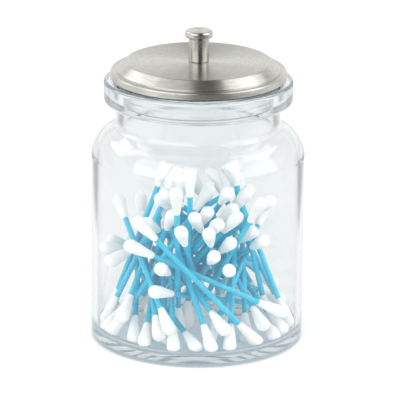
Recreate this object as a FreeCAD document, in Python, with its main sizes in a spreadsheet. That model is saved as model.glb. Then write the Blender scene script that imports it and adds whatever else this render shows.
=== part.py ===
"""Glass canister with a lift-off brushed steel lid, filled with double-ended cotton swabs.

Frame: millimetres, +Z up, origin at the centre of the foot on the table.
One revolved glass jar stands on its foot ring.  The lid is a stamped steel shell on a clear
moulded plug with a soft seal, and a turned knob held from beneath by a screw and washer.
The swabs lean across one another inside, each with its lower bud on the floor or on the pile.
"""
import FreeCAD, Part
import math
import os
import random
import Sketcher

doc = FreeCAD.newDocument("canister")

# ---------------------------------------------------------------- driving dimensions
SIZES = [
    # jar
    ("body_diameter", 89.0, "outside of the straight wall"),
    ("jar_height", 111.7, "foot to the top of the rim"),
    ("wall", 2.4, "glass thickness of the side"),
    ("floor_thickness", 3.6, "glass thickness under the contents"),
    ("heel_radius", 1.2, "outer rounding where wall meets foot"),
    ("floor_corner", 4.5, "inner rounding where wall meets floor"),
    ("foot_width", 7.0, "flat ring that stands on the table"),
    ("push_up", 1.4, "height of the hollow under the foot"),
    ("neck_diameter", 68.4, "outside of the neck"),
    ("mouth_diameter", 62.8, "bore of the neck"),
    ("neck_height", 9.8, "neck between shoulder and rim"),
    ("shoulder_slope", 31.0, "degrees above level"),
    ("shoulder_radius", 12.5, "outer rounding of the shoulder"),
    ("neck_radius", 2.5, "outer hollow between shoulder and neck"),
    ("rim_diameter", 78.8, "outside of the thick rim"),
    ("rim_height", 9.6, "height of the thick rim"),
    ("rim_lower_radius", 2.0, "rounding under the rim"),
    ("rim_root_radius", 1.2, "hollow between neck and rim"),
    ("rim_upper_radius", 1.5, "rounding on top of the rim"),
    # lid
    ("rest_gap", 0.1, "room under the seal where the lid rests"),
    ("seal_thickness", 0.5, "soft flange between rim and lid"),
    ("skirt_lift", 0.25, "skirt kept off the soft flange"),
    ("seal_wall", 0.6, "soft sleeve round the plug"),
    ("seal_clearance", 0.3, "room between seal lips and mouth"),
    ("seal_lip", 0.7, "height of each lip"),
    ("seal_inset", 0.35, "edge of the flange inside the skirt's"),
    ("lip_pitch", 2.6, "spacing of the lips"),
    ("plug_depth", 9.2, "plug below the top of the rim"),
    ("plug_wall", 1.6, "thickness of the plug"),
    ("plug_foot_radius", 0.6, "rounding of the plug's foot"),
    ("plug_root_radius", 1.0, "hollow where collar meets plate"),
    ("lid_diameter", 73.2, "outside of the steel skirt"),
    ("sheet", 0.6, "thickness of the stamped steel"),
    ("skirt_height", 2.8, "height of the steel skirt"),
    ("ledge_width", 2.5, "flat ledge on top of the skirt"),
    ("ledge_step", 0.55, "step between ledge and bevel"),
    ("bevel_rise", 3.3, "height of the bevel"),
    ("bevel_run", 3.9, "width of the bevel"),
    ("corner_radius", 0.7, "rounding between skirt and ledge"),
    ("edge_radius", 0.25, "rounding of the stamped edges"),
    ("hem_radius", 0.2, "rounding of the skirt's lower edge"),
    # knob
    ("knob_height", 13.1, "lid top to knob top"),
    ("stem_diameter", 8.5, "knob stem"),
    ("cap_diameter", 11.5, "knob cap"),
    ("cap_height", 2.9, "thickness of the knob cap"),
    ("cap_radius", 0.95, "rounding on top of the knob cap"),
    ("cap_under_radius", 0.75, "rounding under the knob cap"),
    ("neck_groove", 0.45, "groove under the cap"),
    ("stem_chamfer", 0.35, "chamfer at the foot of the stem"),
    ("screw_diameter", 3.5, "knob screw"),
    ("screw_grip", 7.0, "screw length inside the knob"),
    ("screw_point", 0.45, "chamfer at the screw's end"),
    ("tap_spare", 1.0, "thread in the knob beyond the screw"),
    ("head_diameter", 7.0, "screw head"),
    ("head_height", 2.2, "screw head"),
    ("head_radius", 0.9, "rounding of the screw head"),
    ("cross_length", 4.2, "cross slot in the screw head"),
    ("cross_width", 0.9, "cross slot in the screw head"),
    ("cross_depth", 1.1, "cross slot in the screw head"),
    ("washer_diameter", 10.0, "washer under the screw head"),
    ("washer_thickness", 0.6, "washer under the screw head"),
    ("washer_chamfer", 0.15, "broken edge of the washer"),
    ("boss_diameter", 12.0, "boss of the plug round the screw"),
    ("fit", 0.1, "room between pieces that pass through one another"),
    # swabs
    ("swab_length", 76.0, "tip to tip"),
    ("stick_diameter", 2.5, "plastic stick"),
    ("bud_diameter", 5.6, "cotton bud at its widest"),
    ("bud_length", 13.5, "cotton bud along the stick"),
    ("bud_peak", 4.6, "tip to the widest place"),
    ("bud_neck", 2.9, "bud diameter where it thins out on the stick"),
    ("bud_cover", 1.6, "cotton over the end of the stick"),
    ("bud_fit", 0.05, "room between stick and cotton"),
    ("swab_count", 56, "swabs in the jar"),
    ("swab_room", 0.12, "room kept between swabs"),
    ("headroom", 3.8, "room over the highest tips, below the shoulder"),
]

sheet = doc.addObject("Spreadsheet::Sheet", "sizes")
for row, (alias, value, note) in enumerate(SIZES, start=1):
    sheet.set("A%d" % row, alias)
    sheet.set("B%d" % row, str(value))
    sheet.set("C%d" % row, note)
    sheet.setAlias("B%d" % row, alias)
doc.recompute()


def size(alias):
    """Value of one cell of the sheet."""
    return float(getattr(sheet, alias))


# Heights and radii that several pieces share, written once as expressions on the sheet.
LEVEL = {
    "body": "sizes.body_diameter / 2",
    "inside": "(sizes.body_diameter / 2 - sizes.wall)",
    "neck": "sizes.neck_diameter / 2",
    "mouth": "sizes.mouth_diameter / 2",
    "rim": "sizes.rim_diameter / 2",
    "slope": "tan(sizes.shoulder_slope * 1 deg)",
    "wrap": "tan((45 - sizes.shoulder_slope / 2) * 1 deg)",
    "rim_foot": "(sizes.jar_height - sizes.rim_height)",
    "seal_foot": "(sizes.jar_height + sizes.rest_gap)",
    "seal_top": "(sizes.jar_height + sizes.rest_gap + sizes.seal_thickness)",
    "lid": "sizes.lid_diameter / 2",
}
LEVEL["skirt_foot"] = "({seal_top} + sizes.skirt_lift)".format(**LEVEL)
LEVEL["neck_foot"] = "({rim_foot} - sizes.neck_height)".format(**LEVEL)
LEVEL["shoulder"] = "({neck_foot} - ({body} - {neck}) * {slope})".format(**LEVEL)
LEVEL["inner_shoulder"] = "({shoulder} - sizes.wall * {wrap})".format(**LEVEL)
LEVEL["inner_neck_foot"] = "({inner_shoulder} + ({inside} - {mouth}) * {slope})".format(**LEVEL)
LEVEL["ledge"] = "({skirt_foot} + sizes.skirt_height)".format(**LEVEL)
LEVEL["bevel_foot"] = "({ledge} + sizes.ledge_step)".format(**LEVEL)
LEVEL["plateau"] = "({bevel_foot} + sizes.bevel_rise)".format(**LEVEL)
LEVEL["bevel_outer"] = "({lid} - sizes.ledge_width)".format(**LEVEL)
LEVEL["plateau_edge"] = "({bevel_outer} - sizes.bevel_run)".format(**LEVEL)
LEVEL["plug"] = "({mouth} - sizes.seal_clearance - sizes.seal_wall - sizes.seal_lip / 2)".format(**LEVEL)
LEVEL["plug_foot"] = "(sizes.jar_height - sizes.plug_depth)"
LEVEL["plate_foot"] = LEVEL["seal_top"]
LEVEL["plate_top"] = "({ledge} - sizes.sheet - sizes.fit)".format(**LEVEL)
LEVEL["knob_foot"] = LEVEL["plateau"]
LEVEL["knob_top"] = "({plateau} + sizes.knob_height)".format(**LEVEL)
LEVEL["cap_foot"] = "({knob_top} - sizes.cap_height)".format(**LEVEL)
LEVEL["boss_top"] = "({plateau} - sizes.sheet)".format(**LEVEL)


def formula(text):
    """Fill the shared names into an expression."""
    return text.format(**LEVEL)


def value_of(text):
    """Number that an expression on the sheet has now."""
    result = sheet.evalExpression(formula(text))
    return float(getattr(result, "Value", result))


# ---------------------------------------------------------------- sketch helpers
def new_body(label):
    body = doc.addObject("PartDesign::Body", label)
    body.Label = label
    return body


def origin_part(body, role):
    return next(item for item in body.Origin.OriginFeatures if item.Role == role)


def new_sketch(body, name):
    """Sketch in the upright plane: its x is the radius and its y is the height."""
    sketch = body.newObject("Sketcher::SketchObject", name)
    sketch.AttachmentSupport = [(origin_part(body, "XZ_Plane"), "")]
    sketch.MapMode = "FlatFace"
    return sketch


def pin(sketch, geometry, point, radius, height):
    """Tie a sketch point to two expressions; a plain "0" ties it to an axis."""
    for kind, axis, text in (("DistanceX", -2, radius), ("DistanceY", -1, height)):
        if text == "0":
            sketch.addConstraint(Sketcher.Constraint("PointOnObject", geometry, point, axis))
        else:
            datum = Sketcher.Constraint(kind, -1, 1, geometry, point, value_of(text))
            number = sketch.addConstraint(datum)
            sketch.setExpression("Constraints[%d]" % number, formula(text))


def outline(body, name, corners):
    """Closed outline with straight sides through corners given as (radius, height)."""
    sketch = new_sketch(body, name)
    places = [FreeCAD.Vector(value_of(r), value_of(z), 0) for r, z in corners]
    count = len(places)
    for index in range(count):
        sketch.addGeometry(Part.LineSegment(places[index], places[(index + 1) % count]), False)
    for index in range(count):
        sketch.addConstraint(Sketcher.Constraint("Coincident", index, 2, (index + 1) % count, 1))
    for index, (radius, height) in enumerate(corners):
        pin(sketch, index, 1, radius, height)
    doc.recompute()
    return sketch


def revolve(body, sketch, name, cut=False):
    """Turn an outline round the height axis, as a solid or as a cut."""
    before = body.Shape.Volume if cut else 0.0
    feature = body.newObject("PartDesign::Groove" if cut else "PartDesign::Revolution", name)
    feature.Profile = sketch
    feature.ReferenceAxis = (sketch, ["V_Axis"])
    feature.Angle = 360
    doc.recompute()
    if cut and body.Shape.Volume >= before:
        raise RuntimeError("%s cuts nothing" % name)
    return feature


def dress(body, name, kind, corners, field, text):
    """Fillet or chamfer the ring edges at the given (radius, height) corners."""
    base = body.Tip
    names = []
    for radius, height in corners:
        wanted = (value_of(radius), value_of(height))
        found = [
            "Edge%d" % number
            for number, edge in enumerate(base.Shape.Edges, start=1)
            if isinstance(edge.Curve, Part.Circle)
            and abs(edge.Curve.Radius - wanted[0]) < 0.01
            and abs(edge.Curve.Center.z - wanted[1]) < 0.01
        ]
        if not found:
            raise RuntimeError("%s finds no edge at %s" % (name, wanted))
        names += found
    feature = body.newObject("PartDesign::" + kind, name)
    feature.Base = (base, names)
    feature.setExpression(field, formula(text))
    doc.recompute()
    return feature


def fillet(body, name, corners, text):
    return dress(body, name, "Fillet", corners, "Radius", text)


def chamfer(body, name, corners, text):
    return dress(body, name, "Chamfer", corners, "Size", text)


# How far cutting outlines run past the solid they cut.
OVERRUN = "1"

# The most of the shoulder's slant that the roundings at its wide and narrow ends take up.
OUTER_SHARES = (0.76, 0.2)
INNER_SHARES = (0.62, 0.3)


# ---------------------------------------------------------------- jar
def build_jar():
    """One blown and pressed glass piece: foot, wall, shoulder, neck and thick rim."""
    body = new_body("jar")
    form = outline(body, "jar_form", [
        ("0", "0"), ("{body}", "0"), ("{body}", "{shoulder}"), ("{neck}", "{neck_foot}"),
        ("{neck}", "{rim_foot}"), ("{rim}", "{rim_foot}"), ("{rim}", "sizes.jar_height"),
        ("0", "sizes.jar_height"),
    ])
    revolve(body, form, "jar_blank")
    cavity = outline(body, "jar_cavity", [
        ("0", "sizes.floor_thickness"), ("{inside}", "sizes.floor_thickness"),
        ("{inside}", "{inner_shoulder}"), ("{mouth}", "{inner_neck_foot}"),
        ("{mouth}", "sizes.jar_height + " + OVERRUN), ("0", "sizes.jar_height + " + OVERRUN),
    ])
    revolve(body, cavity, "jar_hollow", cut=True)
    outer_cone = "({body} - {neck}) / cos(sizes.shoulder_slope * 1 deg) / {wrap}"
    inner_cone = "({inside} - {mouth}) / cos(sizes.shoulder_slope * 1 deg) / {wrap}"
    fillet(body, "shoulder_round", [("{body}", "{shoulder}")],
           "min(sizes.shoulder_radius; %s * %s)" % (OUTER_SHARES[0], outer_cone))
    fillet(body, "shoulder_round_inside", [("{inside}", "{inner_shoulder}")],
           "min(sizes.shoulder_radius - sizes.wall; %s * %s)" % (INNER_SHARES[0], inner_cone))
    fillet(body, "neck_round", [("{neck}", "{neck_foot}")],
           "min(sizes.neck_radius; %s * %s)" % (OUTER_SHARES[1], outer_cone))
    fillet(body, "neck_round_inside", [("{mouth}", "{inner_neck_foot}")],
           "min(sizes.neck_radius + sizes.wall; %s * %s)" % (INNER_SHARES[1], inner_cone))
    fillet(body, "rim_lower_round", [("{rim}", "{rim_foot}")], "sizes.rim_lower_radius")
    fillet(body, "rim_root_round", [("{neck}", "{rim_foot}")], "sizes.rim_root_radius")
    fillet(body, "rim_upper_round", [("{rim}", "sizes.jar_height"), ("{mouth}", "sizes.jar_height")],
           "sizes.rim_upper_radius")
    fillet(body, "heel_round", [("{body}", "0")], "sizes.heel_radius")
    fillet(body, "floor_round", [("{inside}", "sizes.floor_thickness")], "sizes.floor_corner")
    foot_inner = "({body} - sizes.heel_radius - sizes.foot_width)"
    hollow = outline(body, "foot_hollow", [
        ("0", "sizes.push_up"), (foot_inner + " / 2", "sizes.push_up"), (foot_inner, "0"), ("0", "0"),
    ])
    revolve(body, hollow, "foot_push_up", cut=True)
    return body


# ---------------------------------------------------------------- lid
def build_lid_shell():
    """Steel sheet stamped into plateau, bevel, ledge and skirt, with a hole for the screw."""
    body = new_body("lid_shell")
    form = outline(body, "shell_form", [
        ("0", "{skirt_foot}"), ("{lid}", "{skirt_foot}"), ("{lid}", "{ledge}"),
        ("{bevel_outer}", "{ledge}"), ("{bevel_outer}", "{bevel_foot}"),
        ("{plateau_edge}", "{plateau}"), ("0", "{plateau}"),
    ])
    revolve(body, form, "shell_blank")
    lean = "(sizes.sheet * sizes.bevel_rise / sizes.bevel_run / 2)"
    inner_step = "({bevel_outer} - sizes.sheet)"
    inner_edge = "({plateau_edge} - %s)" % lean
    slope = "sizes.bevel_rise / sizes.bevel_run"
    hollow = outline(body, "shell_hollow", [
        ("0", "{skirt_foot}"), ("{lid} - sizes.sheet", "{skirt_foot}"),
        ("{lid} - sizes.sheet", "{ledge} - sizes.sheet"), (inner_step, "{ledge} - sizes.sheet"),
        (inner_step, "{plateau} - sizes.sheet - (%s - %s) * %s" % (inner_step, inner_edge, slope)),
        (inner_edge, "{plateau} - sizes.sheet"), ("0", "{plateau} - sizes.sheet"),
    ])
    revolve(body, hollow, "shell_inside", cut=True)
    hole = outline(body, "shell_hole", [
        ("0", "{plateau} - 2 * sizes.sheet"),
        ("sizes.screw_diameter / 2 + sizes.fit", "{plateau} - 2 * sizes.sheet"),
        ("sizes.screw_diameter / 2 + sizes.fit", "{plateau} + sizes.sheet"),
        ("0", "{plateau} + sizes.sheet"),
    ])
    revolve(body, hole, "shell_bore", cut=True)
    fillet(body, "shell_corner", [("{lid}", "{ledge}")], "sizes.corner_radius")
    fillet(body, "shell_edges", [
        ("{bevel_outer}", "{ledge}"), ("{bevel_outer}", "{bevel_foot}"), ("{plateau_edge}", "{plateau}"),
    ], "sizes.edge_radius")
    fillet(body, "shell_hem", [("{lid}", "{skirt_foot}")], "sizes.hem_radius")
    return body


def build_lid_plug():
    """Clear moulded plug: a plate inside the shell, a collar in the mouth and a screw boss."""
    body = new_body("lid_plug")
    bore = "sizes.screw_diameter / 2 + sizes.fit"
    form = outline(body, "plug_form", [
        (bore, "{plate_foot}"), ("{plug} - sizes.plug_wall", "{plate_foot}"),
        ("{plug} - sizes.plug_wall", "{plug_foot}"), ("{plug}", "{plug_foot}"),
        ("{plug}", "{plate_foot}"), ("{lid} - sizes.sheet - sizes.fit", "{plate_foot}"),
        ("{lid} - sizes.sheet - sizes.fit", "{plate_top}"),
        ("sizes.boss_diameter / 2", "{plate_top}"), ("sizes.boss_diameter / 2", "{boss_top}"),
        (bore, "{boss_top}"),
    ])
    revolve(body, form, "plug_blank")
    fillet(body, "plug_foot_round", [
        ("{plug}", "{plug_foot}"), ("{plug} - sizes.plug_wall", "{plug_foot}"),
    ], "sizes.plug_foot_radius")
    fillet(body, "plug_root_round", [("{plug} - sizes.plug_wall", "{plate_foot}")],
           "sizes.plug_root_radius")
    return body


def build_seal_ring():
    """Soft clear ring: a flange on the rim and a sleeve with lips that wipe the mouth."""
    body = new_body("seal_ring")
    inner = "{plug} + sizes.fit"
    sleeve = "{plug} + sizes.fit + sizes.seal_wall"
    lip = "{mouth} - sizes.seal_clearance"
    top = "{seal_top}"
    corners = [(inner, top), (inner, "{plug_foot} + sizes.plug_wall"),
               (sleeve, "{plug_foot} + sizes.plug_wall")]
    for number in range(2, 0, -1):
        crest = "({seal_foot} - %d * sizes.lip_pitch)" % number
        corners += [(sleeve, crest + " - sizes.seal_lip / 2"), (lip, crest),
                    (sleeve, crest + " + sizes.seal_lip / 2")]
    corners += [(sleeve, "{seal_foot}"), ("{lid} - sizes.seal_inset", "{seal_foot}"),
                ("{lid} - sizes.seal_inset", top)]
    revolve(body, outline(body, "seal_form", corners), "seal_blank")
    return body


def build_knob():
    """Turned steel knob: straight stem, fine groove, rounded cap and a tapped hole beneath."""
    body = new_body("knob")
    stem = "sizes.stem_diameter / 2"
    tap = "sizes.screw_diameter / 2"
    groove = "(sizes.stem_diameter / 2 - sizes.neck_groove)"
    depth = "{knob_foot} + sizes.screw_grip + sizes.tap_spare"
    form = outline(body, "knob_form", [
        (tap, "{knob_foot}"), (stem, "{knob_foot}"), (stem, "{cap_foot} - sizes.neck_groove"),
        (groove, "{cap_foot} - sizes.neck_groove"), (groove, "{cap_foot}"),
        ("sizes.cap_diameter / 2", "{cap_foot}"), ("sizes.cap_diameter / 2", "{knob_top}"),
        ("0", "{knob_top}"), ("0", depth + " + " + tap), (tap, depth),
    ])
    revolve(body, form, "knob_blank")
    fillet(body, "cap_upper_round", [("sizes.cap_diameter / 2", "{knob_top}")], "sizes.cap_radius")
    fillet(body, "cap_lower_round", [("sizes.cap_diameter / 2", "{cap_foot}")], "sizes.cap_under_radius")
    chamfer(body, "stem_foot_chamfer", [(stem, "{knob_foot}")], "sizes.stem_chamfer")
    return body


def build_knob_screw():
    """Pan head screw that comes up through washer, plug and shell into the knob."""
    body = new_body("knob_screw")
    shank = "sizes.screw_diameter / 2 - sizes.fit / 2"
    head = "sizes.head_diameter / 2"
    seat = "({plate_foot} - sizes.washer_thickness)"
    form = outline(body, "screw_form", [
        ("0", seat + " - sizes.head_height"), (head, seat + " - sizes.head_height"), (head, seat),
        (shank, seat), (shank, "{knob_foot} + sizes.screw_grip"), ("0", "{knob_foot} + sizes.screw_grip"),
    ])
    revolve(body, form, "screw_blank")
    fillet(body, "head_round", [(head, seat + " - sizes.head_height")], "sizes.head_radius")
    chamfer(body, "screw_point", [(shank, "{knob_foot} + sizes.screw_grip")], "sizes.screw_point")
    arms = ("sizes.cross_length", "sizes.cross_width")
    for number, (long_side, short_side) in enumerate((arms, arms[::-1]), start=1):
        slot = body.newObject("PartDesign::SubtractiveBox", "cross_slot_%d" % number)
        slot.setExpression("Length", long_side)
        slot.setExpression("Width", short_side)
        slot.setExpression("Height", "sizes.cross_depth")
        slot.AttachmentSupport = [(origin_part(body, "XY_Plane"), "")]
        slot.MapMode = "FlatFace"
        slot.setExpression("AttachmentOffset.Base.x", "-Length / 2")
        slot.setExpression("AttachmentOffset.Base.y", "-Width / 2")
        slot.setExpression("AttachmentOffset.Base.z", formula(seat + " - sizes.head_height"))
        doc.recompute()
    return body


def build_washer():
    """Flat washer that spreads the screw head's pull over the plug."""
    body = new_body("washer")
    seat = "({plate_foot} - sizes.washer_thickness)"
    bore = "sizes.screw_diameter / 2 + sizes.fit"
    form = outline(body, "washer_form", [
        (bore, seat), ("sizes.washer_diameter / 2", seat),
        ("sizes.washer_diameter / 2", "{plate_foot}"), (bore, "{plate_foot}"),
    ])
    revolve(body, form, "washer_blank")
    chamfer(body, "washer_edge", [("sizes.washer_diameter / 2", seat)], "sizes.washer_chamfer")
    return body


# ---------------------------------------------------------------- swab forms
def build_stick_form():
    """One stick along +Z, measured from the swab's lower tip, with eased ends."""
    body = new_body("stick_form")
    radius = "sizes.stick_diameter / 2"
    form = outline(body, "stick_profile", [
        ("0", "sizes.bud_cover"), (radius, "sizes.bud_cover"),
        (radius, "sizes.swab_length - sizes.bud_cover"), ("0", "sizes.swab_length - sizes.bud_cover"),
    ])
    revolve(body, form, "stick_blank")
    return body


def bud_side_radius():
    """Radius of the long arc from the widest place down to the thin end."""
    thinning = (size("bud_diameter") - size("bud_neck")) / 2
    return ((size("bud_length") - size("bud_peak")) ** 2 + thinning ** 2) / (2 * thinning)


def bud_tip_radius():
    """Radius of the round tip that runs on smoothly into the long arc."""
    side = bud_side_radius()
    widest = size("bud_diameter") / 2
    return (2 * widest * side - widest ** 2 - size("bud_peak") ** 2) / (2 * (side - size("bud_peak")))


def build_bud_form():
    """One teardrop bud with its tip at the origin and a blind bore for the stick."""
    body = new_body("bud_form")
    sketch = new_sketch(body, "bud_profile")
    side = bud_side_radius()
    tip = bud_tip_radius()
    widest = size("bud_diameter") / 2
    centre = FreeCAD.Vector(widest - side, size("bud_peak"), 0)
    tip_centre = FreeCAD.Vector(0, tip, 0)
    reach = (tip_centre - centre).normalize()
    join = centre + reach * side
    neck = FreeCAD.Vector(size("bud_neck") / 2, size("bud_length"), 0)
    stick = size("stick_diameter") / 2 + size("bud_fit")
    bore = size("bud_cover") - size("bud_fit")
    axis_z = FreeCAD.Vector(0, 0, 1)
    tip_angle = math.atan2(join.y - tip, join.x)
    side_start = math.atan2(join.y - centre.y, join.x - centre.x)
    side_end = math.atan2(neck.y - centre.y, neck.x - centre.x)
    sketch.addGeometry(Part.ArcOfCircle(Part.Circle(tip_centre, axis_z, tip), -math.pi / 2, tip_angle))
    sketch.addGeometry(Part.ArcOfCircle(Part.Circle(centre, axis_z, side), side_start, side_end))
    bore_top = FreeCAD.Vector(stick, neck.y, 0)
    bore_foot = FreeCAD.Vector(stick, bore, 0)
    bore_end = FreeCAD.Vector(0, bore, 0)
    stops = [neck, bore_top, bore_foot, bore_end, FreeCAD.Vector(0, 0, 0)]
    for start, end in zip(stops, stops[1:]):
        sketch.addGeometry(Part.LineSegment(start, end))
    sketch.addConstraint(Sketcher.Constraint("Tangent", 0, 2, 1, 1))
    for first, second in ((1, 2), (2, 3), (3, 4), (4, 5)):
        sketch.addConstraint(Sketcher.Constraint("Coincident", first, 2, second, 1))
    sketch.addConstraint(Sketcher.Constraint("Coincident", 5, 2, 0, 1))
    sketch.addConstraint(Sketcher.Constraint("Coincident", 0, 1, -1, 1))
    sketch.addConstraint(Sketcher.Constraint("PointOnObject", 0, 3, -2))
    thinning = "(sizes.bud_diameter - sizes.bud_neck)"
    fall = "(sizes.bud_length - sizes.bud_peak)"
    long_radius = "(%s ^ 2 / %s + %s / 4)" % (fall, thinning, thinning)
    pin(sketch, 1, 3, "sizes.bud_diameter / 2 - " + long_radius, "sizes.bud_peak")
    pin(sketch, 1, 2, "sizes.bud_neck / 2", "sizes.bud_length")
    pin(sketch, 3, 1, "sizes.stick_diameter / 2 + sizes.bud_fit", "sizes.bud_length")
    pin(sketch, 4, 1, "sizes.stick_diameter / 2 + sizes.bud_fit", "sizes.bud_cover - sizes.bud_fit")
    pin(sketch, 5, 1, "0", "sizes.bud_cover - sizes.bud_fit")
    doc.recompute()
    revolve(body, sketch, "bud_blank")
    return body


# ---------------------------------------------------------------- how the swabs lie
LENGTH = size("swab_length")
WIDEST = size("bud_diameter") / 2
PEAK = size("bud_peak")
THIN = size("bud_length")
SIDE = bud_side_radius()
TIP = bud_tip_radius()
SPAN = LENGTH - 2 * TIP
STICK = size("stick_diameter") / 2
ROOM = size("swab_room")
BORE = size("body_diameter") / 2 - size("wall")
CORNER = size("floor_corner")
FLOOR = size("floor_thickness")
FREE = BORE - TIP - ROOM
CEILING = value_of("{inner_shoulder}") - size("headroom")
SLACK = 0.01
LEAST_RISE = 0.2
DOME = 0.01


def radius_along(distance):
    """Radius of a swab at a distance from its lower tip."""
    distance = min(distance, LENGTH - distance)
    if distance > THIN:
        return STICK
    return WIDEST - SIDE + math.sqrt(SIDE ** 2 - (distance - PEAK) ** 2)


def bud_balls(steps=4):
    """Balls along both buds that stand in for the cotton when swabs are kept apart."""
    balls = [(TIP, TIP)]
    for step in range(steps + 1):
        distance = PEAK + (THIN - PEAK) * step / steps
        balls.append((distance, radius_along(distance)))
    return balls + [(LENGTH - distance, radius) for distance, radius in balls]


BALLS = bud_balls()


class Swab:
    """A straight swab given by the plan places of its two end balls and its lift off the floor."""

    def __init__(self, foot, head, lift=0.0):
        self.foot, self.head, self.lift = foot, head, lift
        across = head - foot
        rise = math.sqrt(max(0.0, SPAN ** 2 - across.Length ** 2))
        self.way = (across + FreeCAD.Vector(0, 0, rise)) / SPAN
        lowest = min(self.way.z * distance - radius for distance, radius in BALLS)
        self.tip = foot - self.way * TIP
        self.tip.z = FLOOR + ROOM - lowest + lift
        self.top = self.tip + self.way * (LENGTH - TIP)
        self.balls = [(self.tip + self.way * distance, radius) for distance, radius in BALLS]
        self.middle = self.tip.z + self.way.z * LENGTH / 2

    def lifted(self, height):
        return Swab(self.foot, self.head, self.lift + height)


def inside_jar(swab):
    """True when every bud ball is clear of wall, floor, corner rounding and shoulder."""
    if swab.lift < 0 or swab.way.z < LEAST_RISE:
        return False
    for ball, radius in swab.balls:
        away = math.hypot(ball.x, ball.y)
        if away + radius > BORE - ROOM + SLACK or ball.z + radius > CEILING:
            return False
        beyond = away - BORE + CORNER
        below = FLOOR + CORNER - ball.z
        if beyond > 0 and below > 0 and math.hypot(beyond, below) + radius > CORNER - ROOM + SLACK:
            return False
    return True


def line_distance(first, second):
    """Shortest distance between the centre lines of two swabs."""
    gap = first.tip - second.tip
    alike = first.way.dot(second.way)
    along_first = first.way.dot(gap)
    along_second = second.way.dot(gap)
    near = (alike * along_second - along_first) / max(1 - alike * alike, 1e-9)
    near = min(max(near, 0.0), LENGTH)
    other = min(max(alike * near + along_second, 0.0), LENGTH)
    near = min(max(alike * other - along_first, 0.0), LENGTH)
    return (gap + first.way * near - second.way * other).Length


def apart(first, second):
    """True when two swabs keep their room."""
    distance = line_distance(first, second)
    if distance > 2 * WIDEST + ROOM:
        return True
    if distance < 2 * STICK + ROOM:
        return False
    for one, other in ((first, second), (second, first)):
        for ball, radius in one.balls:
            near = min(max(other.way.dot(ball - other.tip), TIP), LENGTH - TIP)
            place = other.tip + other.way * near
            if ball.distanceToPoint(place) < radius + radius_along(near) + ROOM:
                return False
    return True


def fits(swab, others):
    return inside_jar(swab) and all(apart(swab, other) for other in others)


def plan(angle, reach):
    """Plan place from degrees and a share of the free radius."""
    turn = math.radians(angle)
    return FreeCAD.Vector(math.cos(turn), math.sin(turn), 0) * (reach * FREE)


def nudge(luck, place, amount):
    return place + FreeCAD.Vector(luck.gauss(0, amount), luck.gauss(0, amount), 0)


def domed(swab):
    """True when the top stays under the dome of the pile, which falls away from the middle."""
    return swab.top.z < CEILING - TIP - DOME * (swab.top.x ** 2 + swab.top.y ** 2)


# The swabs that lie in front, set down first: (foot angle, foot reach, head angle, head reach, lift).
# Angles run from +X towards +Y, so the front is at -90.
FRONT = [
    (-50, 0.99, -132, 0.91, 0),
    (-26, 0.98, -131, 0.98, 9),
    (80, 0.72, -115, 0.87, 0),
    (97, 0.80, -76, 0.74, 0),
    (112, 0.92, -60, 0.72, 0),
    (68, 0.55, -86, 0.86, 0),
    (72, 0.30, -100, 0.96, 0),
    (60, 0.85, -101, 0.60, 0),
    (72, 0.85, -67, 0.86, 0),
    (113, 0.98, -81, 0.36, 0),
    (134, 0.98, -120, 0.53, 0),
    (-140, 0.30, -103, 0.92, 0),
    (150, 0.35, -53, 0.77, 0),
    (140, 0.75, -69, 0.54, 0),
    (160, 0.72, -31, 0.71, 0),
    (140, 0.96, -22, 0.60, 0),
    (120, 0.62, -60, 0.70, 0),
    (-80, 0.12, -95, 0.50, 0),
    (175, 0.10, -49, 0.78, 0),
    (20, 0.88, 154, 0.95, 0),
    (45, 0.97, -139, 0.74, 0),
    (30, 0.97, -127, 0.76, 0),
    (38, 0.98, -119, 0.77, 0),
    (-47, 0.76, 59, 0.93, 0),
]

# Depths that keep dropped swabs from standing before the front ones, in mm behind the axis.
FRONT_FOOT = -8
FRONT_HEAD = -2
FRONT_EDGE = -22

# How dropped swabs lean: the head lies at minus this share of the foot's place.
EARLY_LEAN = (0.3, 1.0)
LATE_LEAN = (-0.3, 0.9)
EARLY_STAGES = 8
HIGHEST_STAGE = 18


def set_down(luck, pile, wanted, tries=400, widest_nudge=5.0):
    """Set a swab down near the wanted place, a little further off at each try."""
    for number in range(tries):
        amount = widest_nudge * number / tries
        swab = Swab(nudge(luck, wanted.foot, amount), nudge(luck, wanted.head, amount), wanted.lift)
        if fits(swab, pile):
            pile.append(swab)
            return


def hides_front(foot, head):
    return (foot.y < FRONT_FOOT and head.y < FRONT_HEAD) or head.y < FRONT_EDGE


def drop_in(luck, pile, stage, count, tries=10000, inner_reach=0.3, scatter=12.0):
    """Drop swabs in at random, leaning across the jar; later stages stand steeper and higher."""
    highest_lift = 4 + 2 * stage
    highest_middle = FLOOR + LENGTH * (0.46 + 0.012 * stage)
    for number in range(tries):
        if len(pile) >= count:
            return
        foot = plan(luck.uniform(0, 360), inner_reach + (1 - inner_reach) * math.sqrt(luck.random()))
        lean = luck.uniform(*(EARLY_LEAN if stage < EARLY_STAGES else LATE_LEAN))
        head = nudge(luck, foot * -lean, scatter)
        if hides_front(foot, head):
            continue
        swab = Swab(foot, head, luck.uniform(0, highest_lift))
        if domed(swab) and swab.middle < highest_middle and fits(swab, pile):
            pile.append(swab)


def shake(luck, pile, fixed, moves=8000, step=3.0, hop=0.7, lively=0.6):
    """Jog single swabs; a jog stays when it fits and hardly raises the swab, so the pile slumps."""
    for number in range(moves):
        index = luck.randrange(fixed, len(pile))
        swab = pile[index]
        amount = step * luck.random()
        jogged = Swab(nudge(luck, swab.foot, amount), nudge(luck, swab.head, amount),
                      max(0.0, swab.lift + luck.gauss(0, hop)))
        allowed = swab.middle - lively * math.log(1 - luck.random())
        if domed(jogged) and jogged.middle < allowed and fits(jogged, pile[:index] + pile[index + 1:]):
            pile[index] = jogged


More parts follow.
